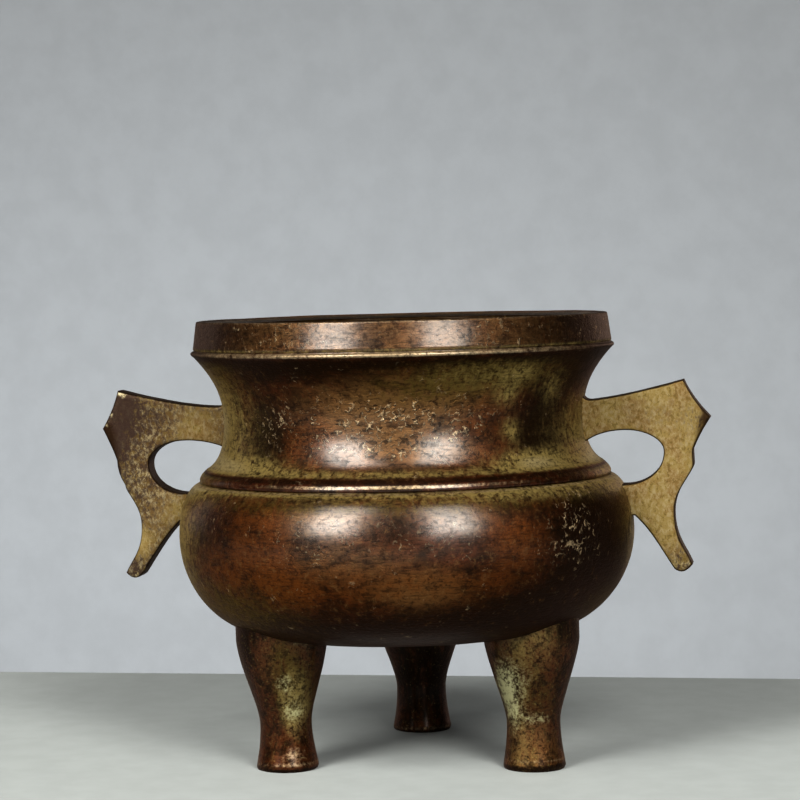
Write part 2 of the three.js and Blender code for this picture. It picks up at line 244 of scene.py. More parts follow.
def inner_profile(s):
    band_r = s.rim_top_r - s.lip
    band_z = s.lip_z - s.lip_fall
    lip = point(s.rim_top_r - s.lip_round, s.lip_z)
    band_edge = point(band_r + s.lip_inner_round, band_z + 0.2 * s.lip_inner_round)
    band_top = point(band_r, band_z - s.lip_inner_round)
    band_foot = point(band_r, s.bead_z)
    throat = point(s.throat_r - s.wall, s.throat_z)
    under_cord = point(s.cord_top_r - s.wall, s.cord_z)
    widest = point(s.belly_r - s.wall, s.widest_z)
    floor_z = s.stance + s.floor
    floor_edge = point(s.flat_r, s.turn_z + s.floor)
    return [
        *bend(4, lip, band_edge),
        *bend(3, band_edge, point(band_top.x, band_edge.z), band_top),
        *bend(6, band_top, band_foot),
        *eased(14, band_foot, throat, (0.9, 0.3), (1, 0.6)),
        *eased(12, throat, under_cord, (0, 0.5), (0.3, 0.8)),
        *eased(12, under_cord, widest, (0.7, 0.05), (1, 0.4)),
        *quarter(20, point(widest.x, floor_edge.z), widest, floor_edge),
        *bend(18, floor_edge, point(s.flat_r / 2, floor_z), point(0, floor_z)),
        point(0, floor_z),
    ]


def radius_at(profile, z):
    """The outer profile's radius at height z."""
    for a, b in zip(profile, profile[1:]):
        if a.z <= z <= b.z and b.z > a.z:
            return a.x + (z - a.z) / (b.z - a.z) * (b.x - a.x)
    return profile[-1].x


def height_at(profile, r):
    """The height of the underside and the lower belly at radius r."""
    for a, b in zip(profile, profile[1:]):
        if a.x <= r <= b.x and b.x > a.x:
            return a.z + (r - a.x) / (b.x - a.x) * (b.z - a.z)
    return profile[-1].z


def turned(profile, steps):
    """A bmesh of a profile turned about Z."""
    bm = bmesh.new()
    verts = [bm.verts.new(p) for p in profile]
    edges = [bm.edges.new(pair) for pair in zip(verts, verts[1:])]
    bmesh.ops.spin(
        bm, geom=verts + edges, cent=(0, 0, 0), axis=(0, 0, 1), dvec=(0, 0, 0),
        angle=math.tau, steps=steps, use_merge=True, use_duplicate=False,
    )
    bmesh.ops.remove_doubles(bm, verts=bm.verts, dist=1e-6)
    bmesh.ops.recalc_face_normals(bm, faces=bm.faces)
    return bm


def uneven(bm, coarse, fine, seed):
    """Moves each vertex along its normal, as a casting finished by hand is never true."""
    bm.normal_update()
    moves = []
    for v in bm.verts:
        place = v.co / MM
        wide = noise.noise(place / WIDE_RIPPLE + Vector((seed, 0, 0)))
        close = noise.noise(place / CLOSE_RIPPLE + Vector((0, seed, 0)))
        moves.append(v.normal * (wide * coarse + close * fine))
    for v, move in zip(bm.verts, moves):
        v.co += move


def add_object(name, bm, material):
    mesh = bpy.data.meshes.new(name)
    bm.to_mesh(mesh)
    bm.free()
    mesh.materials.append(material)
    made = bpy.data.objects.new(name, mesh)
    bpy.context.collection.objects.link(made)
    return made


def finish_piece(bm, name, node, marks, material):
    """Makes the object of a piece, paints its marks on the vertices and sets it in place of its CAD node."""
    painted_marks = {}
    for v in bm.verts:
        for key, value in marks(v.co).items():
            painted_marks.setdefault(key, []).append(value)
    piece = add_object(name, bm, material)
    for key, values in painted_marks.items():
        piece.data.attributes.new(key, "FLOAT", "POINT").data.foreach_set("value", values)
    piece.data.transform(LEAN)
    piece.data.shade_smooth()
    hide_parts(node)
    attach(piece, "root")


# Marks painted on the vertices

def soft_step(value, low, high):
    t = min(max((value - low) / (high - low), 0), 1)
    return t * t * (3 - 2 * t)


def patches(place, spots):
    """How strongly a place is covered by soft round spots, each (middle, reach, strength)."""
    total = 0
    for middle, reach, strength in spots:
        off = Vector((a - b) / c for a, b, c in zip(place, middle, reach))
        total += strength * math.exp(-off.length_squared)
    return total


def painted(place, rows):
    """How strongly a mark is painted at a place, whose last number is its height in millimetres.

    Each row is (zone, strength all over it, soft spots in it). A zone is four heights: the mark comes in
    between the first two and goes out between the last two.
    """
    total = 0
    for (foot, full, last, top), strength, spots in rows:
        share = soft_step(place[-1], foot, full) * (1 - soft_step(place[-1], last, top))
        if share:
            total += share * (strength + patches(place, spots))
    return total


# Materials

EVEN = (1, 1, 1)
SMOOTH = {"interpolation_type": "SMOOTHSTEP"}


def add(tree, kind, inputs=(), **settings):
    """Adds a node with its settings, and sets or links its inputs, given in order or by name."""
    made = tree.nodes.new("ShaderNode" + kind)
    for key, value in settings.items():
        setattr(made, key, value)
    for key, value in inputs.items() if isinstance(inputs, dict) else enumerate(inputs):
        if isinstance(value, bpy.types.Node):
            value = value.outputs[0]
        if isinstance(value, bpy.types.NodeSocket):
            tree.links.new(value, made.inputs[key])
        else:
            made.inputs[key].default_value = value
    return made


def new_tree(name):
    material = bpy.data.materials.new(name)
    material.use_nodes = True
    material.node_tree.nodes.clear()
    return material, material.node_tree


def burner_space(tree, stretch=EVEN):
    """Object coordinates set upright on the bowl's own axis, in millimetres, then stretched."""
    place = add(tree, "TexCoord").outputs["Object"]
    lean = {"Vector": place, "Location": LEAN_PLACE, "Rotation": LEAN_TURN}
    upright = add(tree, "Mapping", lean, vector_type="TEXTURE")
    return add(tree, "VectorMath", [upright, [s / MM for s in stretch]], operation="MULTIPLY")


def fields(tree, patterns, mixes=None, marks=()):
    """What a material's masks are made of, by name.

    Patterns are noise, each (stretch, size of its features in mm, detail, roughness, distortion). Mixes are
    (one, other, share of the one). Marks are those painted on the piece.
    """
    spaces = {}
    found = {}
    for name, (stretch, size, detail, roughness, distortion) in patterns.items():
        if stretch not in spaces:
            spaces[stretch] = burner_space(tree, stretch)
        inputs = {"Scale": 1 / size, "Detail": detail, "Roughness": roughness, "Distortion": distortion}
        found[name] = add(tree, "TexNoise", {"Vector": spaces[stretch], **inputs})
    for name, (one, other, share) in (mixes or {}).items():
        rest = add(tree, "Math", [found[other], 1 - share], operation="MULTIPLY")
        found[name] = add(tree, "Math", [found[one], share, rest], operation="MULTIPLY_ADD")
    for name in marks:
        found[name] = add(tree, "Attribute", attribute_name=name).outputs["Fac"]
    return SimpleNamespace(**found)


def within(tree, area, *fade):
    """A pattern faded from one range of values to another, and only within an area."""
    return add(tree, "Math", [area, add(tree, "MapRange", fade, **SMOOTH)], operation="MULTIPLY")


def covered(tree, mark, grain, share, spread, edge):
    """A painted mark broken up by grain, so that its edge is ragged. Grain is about 0.5 on average."""
    off = add(tree, "Math", [grain, 0.5], operation="SUBTRACT")
    broken = add(tree, "Math", [off, spread, 1], operation="MULTIPLY_ADD")
    broken = add(tree, "Math", [broken, mark], operation="MULTIPLY")
    return add(tree, "MapRange", [broken, 0.5 - edge, 0.5 + edge, 0, share], **SMOOTH)


def scratches(tree, space, size, width, share):
    """Short crooked scratches: level lines of a noise, broken into pieces by a second noise.

    Size is that of the noise and width that of a line, both in millimetres. A larger share keeps more pieces.
    """
    field = add(tree, "TexNoise", {"Vector": space, "Scale": 1 / size, "Detail": 1})
    off = add(tree, "Math", [field, 0.5], operation="SUBTRACT")
    off = add(tree, "Math", [off], operation="ABSOLUTE")
    line = add(tree, "MapRange", [off, 0.1 * width / size, 0.4 * width / size, 1, 0], **SMOOTH)
    aside = add(tree, "VectorMath", [space, [37, 11, 53]], operation="ADD")
    breaks = add(tree, "TexNoise", {"Vector": aside, "Scale": 1 / (0.8 * size), "Detail": 1})
    kept = 0.62 - 0.3 * share
    return within(tree, line, breaks, kept, kept + 0.06, 0, 1)


def layered(tree, base, layers):
    """Colour, metal, roughness and wax of a base with layers over it.

    Each layer is (mask, colour, metal, roughness, wax). A mask is a node, or the five numbers of a fade.
    """
    colour, *levels = base
    for mask, over, *over_levels in layers:
        if isinstance(mask, tuple):
            mask = add(tree, "MapRange", mask, **SMOOTH)
        colour = add(tree, "Mix", {0: mask, 6: colour, 7: over}, data_type="RGBA").outputs[2]
        levels = [add(tree, "Mix", {0: mask, 2: under, 3: top}) for under, top in zip(levels, over_levels)]
    return colour, *levels


def relief(tree, steps):
    """Bumps on bumps, each (pattern of heights from 0 to 1, depth in millimetres)."""
    normal = {}
    for height, depth in steps:
        bump = add(tree, "Bump", {"Height": height, "Distance": depth * MM, "Strength": 1, **normal})
        normal = {"Normal": bump}
    return bump


def shade(tree, surface, normal, coat_roughness=0.2, sheen=0.35):
    """The shader of a surface with wax over it. The sheen is that of its oxide or earth."""
    colour, metal, rough, wax = surface
    shader = add(tree, "BsdfPrincipled", {
        "Base Color": colour, "Metallic": metal, "Roughness": rough, "Normal": normal,
        "Specular IOR Level": sheen, "Specular Tint": WARM,
        "Coat Weight": wax, "Coat Roughness": coat_roughness, "Coat IOR": WAX_IOR,
    })
    add(tree, "OutputMaterial", [shader])


def turned_copper(c):
    """Copper alloy, cast and turned, with a waxed chestnut patina.

    The wax gives soft highlights, the turning fine level lines, and the trimmer's tools short bright nicks.
    Sheen, highlights and shade are also painted on it in spots.
    """
    material, tree = new_tree("Turned copper alloy, waxed chestnut patina")
    f = fields(
        tree,
        {
            "clouds": (EVEN, 10, 4, 0.55, 0.6),
            "mottle": (EVEN, 4.2, 7, 0.68, 0.5),
            "blots": (EVEN, 1.7, 6, 0.7, 0.4),
            "grain": (EVEN, 1, 3, 0.7, 0),
            "level": ((0.13, 0.13, 1), 0.5, 4, 0.65, 0.2),
            "streaks": ((1, 1, 0.35), 1.3, 5, 0.7, 0.3),
            "strokes": ((0.45, 0.45, 1), 2.2, 6, 0.72, 0.4),
        },
        {
            "breakup": ("strokes", "clouds", 0.55),
            "grit": ("grain", "blots", 0.5),
            "runs": ("streaks", "grit", 0.5),
        },
        BOWL_MARKS,
    )
    space = burner_space(tree)
    long_nicks = scratches(tree, space, 2.8, 0.36, 0.3)
    short_nicks = scratches(tree, space, 1.7, 0.3, 0.25)
    nicks = add(tree, "Math", [long_nicks, short_nicks], operation="MAXIMUM")
    off = add(tree, "Math", [f.mottle, 0.5], operation="SUBTRACT")
    trimmed = add(tree, "Math", [off, 3, f.worked], operation="MULTIPLY_ADD")
    nicks = within(tree, nicks, trimmed, 0.2, 0.8, 0, 1)
    glint = within(tree, nicks, f.blots, 0.35, 0.62, 0.1275, 0.85)
    dents = scratches(tree, burner_space(tree, (0.7, 0.7, 1)), 2.2, 0.4, 0.25)
    dents = within(tree, dents, f.worked, 0, 0.6, 0.1, 0.9)
    colour, metal, rough, wax = layered(tree, (c.chestnut, 0.5, 0.38, 0.9), [
        ((f.clouds, 0.56, 0.4, 0, 0.7), c.umber, 0.5, 0.4, 0.8),
        ((f.mottle, 0.53, 0.4, 0, 0.6), c.umber, 0.5, 0.42, 0.8),
        # Bronze marks: light brown, and painted sheen round the highlights
        (covered(tree, f.bronze, f.breakup, 0.8, 4, 0.5), c.bronze, 0.6, 0.36, 1),
        (covered(tree, f.amber, f.breakup, 0.9, 5, 0.5), c.amber, 0.55, 0.38, 0.9),
        ((f.strokes, 0.5, 0.34, 0, 0.5), c.umber, 0.5, 0.42, 0.7),
        ((f.blots, 0.54, 0.68, 0, 0.4), c.bronze, 0.7, 0.34, 0.9),
        # Umber marks: dark oxide, and painted shade
        (covered(tree, f.umber, f.breakup, 0.95, 5, 0.45), c.umber, 0.35, 0.5, 0.3),
        (covered(tree, f.olive, f.runs, 0.85, 5, 0.5), c.olive, 0.5, 0.48, 0.4),
        (covered(tree, f.khaki, f.runs, 0.9, 6, 0.5), c.khaki, 0.35, 0.5, 0.3),
        ((f.khaki, 0.9, 1.5, 0, 0.55), c.sand, 0.3, 0.55, 0.2),
        ((f.grit, 0.5, 0.38, 0, 0.62), c.umber, 0.4, 0.5, 0.3),
        ((f.runs, 0.54, 0.67, 0, 0.4), c.bronze, 0.6, 0.36, 0.9),
        ((f.level, 0.48, 0.34, 0, 0.55), c.umber, 0.4, 0.5, 0.3),
        (add(tree, "Math", [dents, 0.65], operation="MULTIPLY"), c.umber, 0.4, 0.5, 0.3),
        # Wear and painted highlight, in bare copper
        (covered(tree, f.worn, f.grit, 0.7, 5, 0.4), c.copper, 0.8, 0.34, 0.9),
        (glint, c.copper, 0.8, 0.36, 0.9),
    ])
    wax = add(tree, "Math", [wax, f.wax], operation="MULTIPLY")
    cuts = add(tree, "Math", [nicks, dents], operation="SUBTRACT")
    normal = relief(tree, [(f.mottle, 0.15), (f.blots, 0.16), (f.level, 0.13), (f.grain, 0.09), (cuts, 0.3)])
    shade(tree, (colour, metal, rough, wax), normal, 0.25, 0.12)
    return material


def earthy_copper(c):
    """Copper alloy as cast, under a dry earth deposit.

    The deposit is matt and grainy, and the filed edges are dark. Shade, light and highlights are also painted
    on in spots.
    """
    material, tree = new_tree("Cast copper alloy, dry khaki deposit")
    f = fields(
        tree,
        {
            "clouds": (EVEN, 7, 4, 0.6, 0),
            "mottle": ((1, 1, 0.7), 1.2, 6, 0.8, 0),
            "grain": ((1, 1, 0.7), 1, 3, 0.75, 0.3),
        },
        {"grit": ("grain", "mottle", 0.6)},
        ("edge", "plum", "dark", "worn"),
    )
    surface = layered(tree, (c.khaki, 0.2, 0.7, 0), [
        ((f.clouds, 0.58, 0.42, 0.1, 0.5), c.bronze, 0.3, 0.65, 0),
        (within(tree, f.dark, f.clouds, 0.4, 0.6, 1.1, 0.6), c.plum, 0.3, 0.6, 0),
        ((f.grit, 0.46, 0.62, 0, 0.45), c.sand, 0.2, 0.7, 0),
        ((f.grain, 0.46, 0.36, 0, 0.5), c.olive, 0.3, 0.65, 0),
        (covered(tree, f.dark, f.grain, 0.9, 8, 0.4), c.plum, 0.3, 0.5, 0.1),
        (within(tree, f.dark, f.mottle, 0.48, 0.64, 0, 1.1), c.sand, 0.3, 0.6, 0),
        (covered(tree, f.plum, f.grit, 0.95, 5, 0.4), c.plum, 0.35, 0.45, 0.15),
        (covered(tree, f.edge, f.grit, 0.94, 3, 0.3), c.umber, 0.3, 0.6, 0),
        (covered(tree, f.worn, f.grit, 0.9, 5, 0.2), c.sand, 0.6, 0.4, 0.4),
    ])
    shade(tree, surface, relief(tree, [(f.mottle, 0.16), (f.grain, 0.12)]))
    return material


def crusted_copper(c):
    """Copper alloy as cast, brown from handling.

    The feet shine, and pale green crust sits on the thighs. Shade is painted under the bowl, at the soles and
    down the sides of the front legs, and a highlight just above the soles.
    """
    material, tree = new_tree("Cast copper alloy, brown patina with verdigris")
    f = fields(
        tree,
        {
            "mottle": (EVEN, 2.4, 6, 0.75, 0.4),
            "grain": (EVEN, 0.8, 4, 0.75, 0),
            "drips": ((1, 1, 0.22), 2, 5, 0.7, 0.3),
        },
        {"runs": ("drips", "grain", 0.5), "grit": ("grain", "mottle", 0.5)},
        LEG_MARKS,
    )
    surface = layered(tree, (c.chestnut, 0.6, 0.3, 0.12), [
        ((f.mottle, 0.56, 0.42, 0, 0.7), c.umber, 0.5, 0.34, 0.12),
        (covered(tree, f.bronze, f.runs, 0.6, 4, 0.5), c.bronze, 0.6, 0.32, 0.12),
        (covered(tree, f.amber, f.mottle, 0.7, 4, 0.4), c.amber, 0.7, 0.28, 0.2),
        (covered(tree, f.olive, f.runs, 0.8, 4, 0.4), c.olive, 0.5, 0.36, 0.1),
        (covered(tree, f.khaki, f.runs, 0.75, 5, 0.4), c.khaki, 0.35, 0.46, 0.1),
        (covered(tree, f.umber, f.drips, 0.97, 4, 0.4), c.umber, 0.4, 0.4, 0.05),
        ((f.mottle, 0.5, 0.4, 0, 0.6), c.umber, 0.4, 0.4, 0.05),
        ((f.grain, 0.46, 0.36, 0, 0.8), c.umber, 0.4, 0.4, 0.05),
        ((f.grain, 0.58, 0.7, 0, 0.5), c.khaki, 0.5, 0.42, 0.1),
        (covered(tree, f.verdigris, f.grit, 0.75, 9, 0.35), c.verdigris, 0.2, 0.6, 0.1),
        (covered(tree, f.worn, f.grit, 0.8, 7, 0.35), c.copper, 0.8, 0.35, 0.4),
    ])
    shade(tree, surface, relief(tree, [(f.mottle, 0.2), (f.drips, 0.1), (f.grain, 0.1)]), 0.22, 0.12)
    return material


def plain_material(name, colour, roughness, grain_mm, depth_mm):
    """A pale stage surface with a faint grain."""
    material, tree = new_tree(name)
    grain = fields(tree, {"grain": (EVEN, grain_mm, 5, 0.6, 0)}).grain
    shift = add(tree, "MapRange", [grain, 0.3, 0.7, 0.94, 1], **SMOOTH)
    toned = add(tree, "Mix", {0: 1, 6: colour, 7: shift}, data_type="RGBA", blend_type="MULTIPLY").outputs[2]
    shade(tree, (toned, 0, roughness, 0), relief(tree, [(grain, depth_mm)]))
    return material


# What is painted on the bowl

# Zones by height: nothing, full, full and nothing again
ALL = (-9, -8, 130, 131)
BELLY = (-9, -8, 73.6, 75)
CORD = (74.6, 75, 77, 77.6)
NECK = (77.6, 78.4, 106, 109)
BAND = (109.6, 110.6, 130, 131)

# Spots are in degrees round the bowl from its front and millimetres up it
BOWL_MARKS = {
    # Khaki: earth deposit. At the far left and right of the neck, cord and belly it is also painted sheen,
    # and its thin lines on the shoulder edge and under the rim band are also painted highlight.
    "khaki": [
        (NECK, 0, [
            ((-80, 90), (27, 15), 1.5), ((-50, 80.5), (22, 2.4), 0.8), ((0, 78.7), (70, 1.2), 0.6),
            ((97, 86), (28, 10), 1.5), ((48, 80.8), (13, 2.4), 1.1), ((82, 79.5), (26, 2), 0.6),
            ((34, 103), (22, 4), 0.45), ((40, 97.5), (4, 3), 0.6), ((42, 88.5), (3.5, 3.5), 0.6),
            ((43, 103), (4, 2), 0.5), ((58, 98.5), (5, 4), 0.4),
        ]),
        (BELLY, 0, [
            ((-68, 73), (18, 1.6), 0.6), ((0, 73), (60, 1.2), 0.26), ((42, 72.8), (22, 1.6), 0.42),
            ((84, 72.5), (22, 2.2), 0.55), ((100, 62), (17, 15), 1.5), ((-82, 61), (20, 15), 1.4),
        ]),
        ((73.2, 73.8, 74.5, 74.8), 0.6, ()),
        (CORD, 0, [((-90, 76), (28, 9), 0.9), ((92, 76), (22, 9), 0.8)]),
        ((109.6, 109.9, 110.1, 110.4), 0.5, ()),
    ],
    # Olive: thin deposit. At the far left of the belly it is also painted sheen.
    "olive": [
        (BELLY, 0, [
            ((-88, 56), (24, 17), 0.9), ((-50, 44), (26, 7), 0.75), ((0, 71.2), (60, 2.3), 0.6),
            ((80, 42), (16, 6), 0.5),
        ]),
        (NECK, 0, [((34, 103), (26, 4), 0.8), ((12, 99), (20, 4), 0.4), ((-60, 103), (14, 5), 0.6)]),
    ],
    # Umber: dark oxide, and painted shade under the rim, in the crease over the cord, at the far left and
    # right of the rim band and on the sides of the belly. The belly is darker towards the bottom.
    "umber": [
        (NECK, 0, [
            ((-24, 105), (26, 3.2), 0.8), ((-39, 88), (9, 11), 1.1), ((55, 88), (12, 10), 1.3),
            ((68, 102), (14, 6), 0.8),
        ]),
        ((104.5, 107, 106, 109), 1, ()),
        (BELLY, 0, [
            ((-52, 64), (11, 7), 0.7), ((64, 60), (19, 15), 1.4), ((50, 44), (32, 8), 0.9),
            ((6, 66), (6, 4.5), 0.6), ((-70, 56), (8, 12), 0.4),
        ]),
        ((-9, -8, 37, 50), 1.1, ()),
        (ALL, 0, [((-80, 114), (38, 7), 1.9), ((84, 114), (38, 7), 1.6)]),
        ((76.4, 76.9, 77.5, 77.9), 0.6, ()),
    ],
    "amber": [
        (BELLY, 0, [
            ((-32, 66), (10, 8), 0.9), ((-30, 52), (14, 8), 0.8), ((0, 52), (24, 6), 0.5),
            ((36, 62), (10, 8), 0.8), ((26, 50), (14, 5), 0.4), ((-48, 58), (8, 7), 0.5),
        ]),
        (NECK, 0, [((-24, 87), (12, 9), 0.6), ((33, 91), (9, 9), 0.5), ((0, 82), (26, 3), 0.3)]),
    ],
    # Bronze: a light brown tone, and painted sheen round the highlights on the front of the neck, the rim
    # band and the upper belly
    "bronze": [
        (NECK, 0, [((0, 95), (26, 8), 0.9), ((10, 84), (24, 5), 0.6), ((24, 99), (20, 5), 0.5)]),
        (BAND, 0.5, ()),
        (BELLY, 0, [
            ((-14, 68), (14, 4), 0.6), ((22, 68), (12, 4), 0.5), ((-8, 57), (20, 6), 0.5),
            ((12, 50), (12, 5), 0.9),
        ]),
    ],
    "worked": [
        (NECK, 0, [
            ((-7, 91.5), (22, 6), 0.9), ((-38, 92), (7, 5), 0.5), ((24, 90), (12, 7), 0.6),
            ((0, 84), (24, 4), 0.4),
        ]),
        (BELLY, 0, [((53, 63), (9, 8), 0.9), ((10, 67), (14, 5), 0.4), ((-12, 62), (14, 4), 0.35)]),
        (BAND, 0.12, [((-24, 113), (12, 9), 0.35), ((28, 113), (9, 9), 0.3)]),
    ],
    # Wear, and painted highlight on the bead, the lip's edge, the shoulder edge and the front of the cord
    "worn": [
        ((108.2, 108.6, 109.5, 109.8), 0, [((0, 112), (60, 9), 0.8)]),
        ((116.8, 117.2, 130, 131), 0, [((0, 112), (60, 9), 0.3)]),
        (BAND, 0.12, ()),
        ((73.9, 74.2, 74.4, 74.6), 0.4, ()),
        ((75.4, 75.7, 76.2, 76.5), 0, [((2, 76), (38, 9), 0.6)]),
    ],
    "wax": [
        (ALL, 0, [
            ((2, 86), (42, 7), 1), ((2, 66), (46, 7), 1), ((-84, 56), (22, 16), 0.22),
            ((0, 76), (50, 1.4), 0.5), ((0, 36.5), (50, 2.6), 0.5), ((94, 58), (12, 16), 0.4),
        ]),
        ((107.8, 108.6, 130, 131), 0, [((2, 113), (42, 9), 0.8)]),
    ],
}

# In millimetres: how deep the painted skin is, and the height under which all of the bowl is outside
SKIN = 2.5
UNDERSIDE = 36


def bowl_marks(s):
    """Where the bowl is worn, dark or dusty, and where shade and highlights are painted on it. Its inside is
    painted with shade, apart from a painted highlight on the top of the lip at the back.
    """
    outer = outer_profile(s)

    def marks(co):
        r = math.hypot(co.x, co.y) / MM
        turn = math.degrees(math.atan2(co.x, -co.y))
        z = co.z / MM
        if r > radius_at(outer, co.z) / MM - SKIN or z < UNDERSIDE:
            return {key: painted((turn, z), rows) for key, rows in BOWL_MARKS.items()}
        # Inside, painted shade everywhere but the top of the lip at the back, which is painted with a
        # highlight
        lip = soft_step(z, 115.4, 115.9) * soft_step(r, 49.3, 49.8)
        back = lip * soft_step(r, 51.6, 52.8) * soft_step(abs(turn), 70, 110)
        return dict.fromkeys(BOWL_MARKS, 0) | {
            "olive": 0.2 + back, "umber": 1 - back, "bronze": back, "worn": 0.7 * back, "wax": 0.6 * lip,
        }

    return marks


class BURNER_OT_bowl(bpy.types.Operator):
    """Turns the bowl with its cord, bead and rim band, and gives it the waxed chestnut patina"""

    bl_idname = "burner.bowl"
    bl_label = "Bowl"

    def execute(self, context):
        s = context.scene.burner_bowl
        bm = turned(outer_profile(s) + inner_profile(s), BOWL_STEPS)
        uneven(bm, coarse=0.1 * MM, fine=0.035 * MM, seed=3)
        material = turned_copper(context.scene.burner_colours)
        finish_piece(bm, "turned_bowl", "bowl", bowl_marks(s), material)
        return {"FINISHED"}


# Each ear was filed by eye. Points are in millimetres out from the bowl's widest radius and up from the
# crease over the cord.
EARS = {
    "ear_right": {
        "turn": 0, "brow": (-1.6, 17.2), "corner": (14, 21.3), "tip": (20.9, 11.3),
        "hollow": (16.2, 2.9), "knee": (16.3, -0.9), "waist": (11, -13.6), "tail": (15.5, -27.4),
        "tail_back": (10.6, -28.6), "loop_far": (8.5, 2.4), "loop_top": 8.2, "loop_foot": -6.1,
    },
    "ear_left": {
        "turn": math.pi, "brow": (-1.4, 16.4), "corner": (16.6, 21.2), "tip": (21.1, 11),
        "hollow": (17.4, 2.4), "knee": (15.3, -4.4), "waist": (11.1, -15.4), "tail": (15.7, -28.1),
        "tail_back": (11.3, -28.6), "loop_far": (8.6, 1.2), "loop_top": 7.5, "loop_foot": -6.8,
    },
}


def ear_outline(ear, s, bowl):
    outer = outer_profile(bowl)
    crease = bowl.cord_top_z

    def at(key):
        out, up = ear[key]
        return point(bowl.belly_r + out * MM, crease + up * MM)

    brow, corner, tip, hollow = at("brow"), at("corner"), at("tip"), at("hollow")
    knee, waist, tail, tail_back = at("knee"), at("waist"), at("tail"), at("tail_back")
    far = at("loop_far")
    arm_top = point(radius_at(outer, crease + s.arm_top), crease + s.arm_top)
    arm_foot = point(radius_at(outer, crease + s.arm_foot), crease + s.arm_foot)
    crotch = point(radius_at(outer, crease - s.crotch) + s.fillet / 2, crease - s.crotch)
    loop_top = point((arm_foot.x + far.x) / 2, crease + ear["loop_top"] * MM)
    loop_foot = point(loop_top.x, crease + ear["loop_foot"] * MM)
    fullness = 0.56
    fillet_end = point(arm_top.x + 1.5 * s.fillet, arm_top.z)
    above = point(arm_top.x, arm_top.z + s.fillet)
    neck_top = point(arm_top.x - s.root, above.z)
    neck_foot = point(arm_foot.x - s.root, arm_foot.z)
    belly_foot = point(crotch.x - s.fillet / 2 - s.root, crotch.z)
    belly_top = point(radius_at(outer, loop_foot.z) - s.root, loop_foot.z)
    low_bow = point((tail.x + tail_back.x) / 2, tail_back.z - s.tail_bulge)
    return [
        neck_top,
        above,
        *bend(6, above, point(arm_top.x + s.fillet / 4, arm_top.z), fillet_end)[1:],
        *bend(16, fillet_end, brow, corner),
        *eased(12, corner, tip, (0.3, 0.5)),
        *eased(10, tip, hollow, (0.6, 0.5)),
        *eased(4, hollow, knee, (0, 0.5)),
        *eased(12, knee, waist, (0, 0.17), (1, 0.5)),
        *eased(14, waist, tail, (0, 0.5), (0.55, 0.65)),
        *bend(8, tail, low_bow, tail_back),
        *eased(16, tail_back, crotch, (0.2, 0.21), (0.54, 0.68)),
        crotch,
        belly_foot,
        belly_top,
        *eased(14, loop_foot, far, (fullness, 0), (1, 1 - fullness)),
        *eased(14, far, loop_top, (0, fullness), (1 - fullness, 1)),
        *eased(10, loop_top, arm_foot, (0.6, 0)),
        arm_foot,
        neck_foot,
    ]


def ear_mesh(ear, s, bowl):
    """An ear on the +X side: its outline filled, drawn out to its thickness, rounded and finely sliced."""
    bm = bmesh.new()
    face = bm.faces.new([bm.verts.new(p - Vector((0, s.thick / 2, 0))) for p in ear_outline(ear, s, bowl)])
    far_side = bmesh.ops.extrude_face_region(bm, geom=[face], use_keep_orig=True)["geom"]
    bmesh.ops.translate(
        bm, verts=[g for g in far_side if isinstance(g, bmesh.types.BMVert)], vec=(0, s.thick, 0)
    )
    bmesh.ops.recalc_face_normals(bm, faces=bm.faces)
    rims = [e for e in bm.edges if sorted(len(f.verts) > 4 for f in e.link_faces) == [False, True]]
    bmesh.ops.bevel(
        bm, geom=rims, offset=s.edge, offset_type="OFFSET", segments=3, profile=0.5, affect="EDGES",
        material=-1, clamp_overlap=False,
    )
    slices = [
        (Vector((1, 0, 0)), 0.045, 0.084),
        (Vector((0, 0, 1)), 0.047, 0.101),
        (Vector((0, 1, 0)), -0.002, 0.0025),
    ]
    for normal, first, last in slices:
        for i in range(int((last - first) / EAR_SLICE) + 1):
            bmesh.ops.bisect_plane(
                bm, geom=bm.verts[:] + bm.edges[:] + bm.faces[:], dist=1e-7,
                plane_co=normal * (first + i * EAR_SLICE), plane_no=normal,
            )
    bmesh.ops.triangulate(bm, faces=bm.faces)
    return bm


# Spots are in millimetres out and up. The left ear has dark oxide on its outer part, and spots of wear and
# painted highlight on its brow and corner.
# EAR_TIP is painted shade inside the outer edge, by the tip and the hollow
EAR_TIP = [((82, 89), (3, 3), 1.2), ((79.4, 84.5), (1.7, 3.6), 0.7), ((77.6, 79), (1.2, 5), 0.5)]
EAR_GRIME = [((75, 51), (5, 4.5), 0.5), ((80, 88), (6, 14), 0.14), ((66, 90), (12, 4), 0.12)]
EAR_MARKS = {
    "ear_right": {"edge": [(ALL, 0, EAR_TIP)], "plum": [], "dark": [(ALL, 0.1, EAR_GRIME)], "worn": []},
    "ear_left": {
        "edge": [(ALL, 0, EAR_TIP)],
        "plum": [(ALL, 0, [
            ((80, 96), (7, 8), 1.4), ((79, 84), (4.5, 12), 1), ((70, 93), (10, 9), 0.4),
            ((76, 52), (5, 4), 0.6), ((74, 66), (2.5, 8), 0.4),
        ])],
        # Spots with negative strength lighten the ear; those on the arms next to the bowl are painted light
        # where the arms lie in shade
        "dark": [(ALL, 0.58, [
            *EAR_GRIME, ((56, 88), (9, 9), -0.5), ((62, 66), (7, 7), -0.4), ((72, 57), (4, 6), -0.56),
        ])],
        "worn": [(ALL, 0, [
            ((77, 98.4), (3, 1), 0.765), ((79.6, 93.6), (1.2, 3), 0.595), ((81, 90.5), (1, 1.6), 0.51),
            ((68, 96.6), (8, 0.7), 0.3825),
        ])],
    },
}


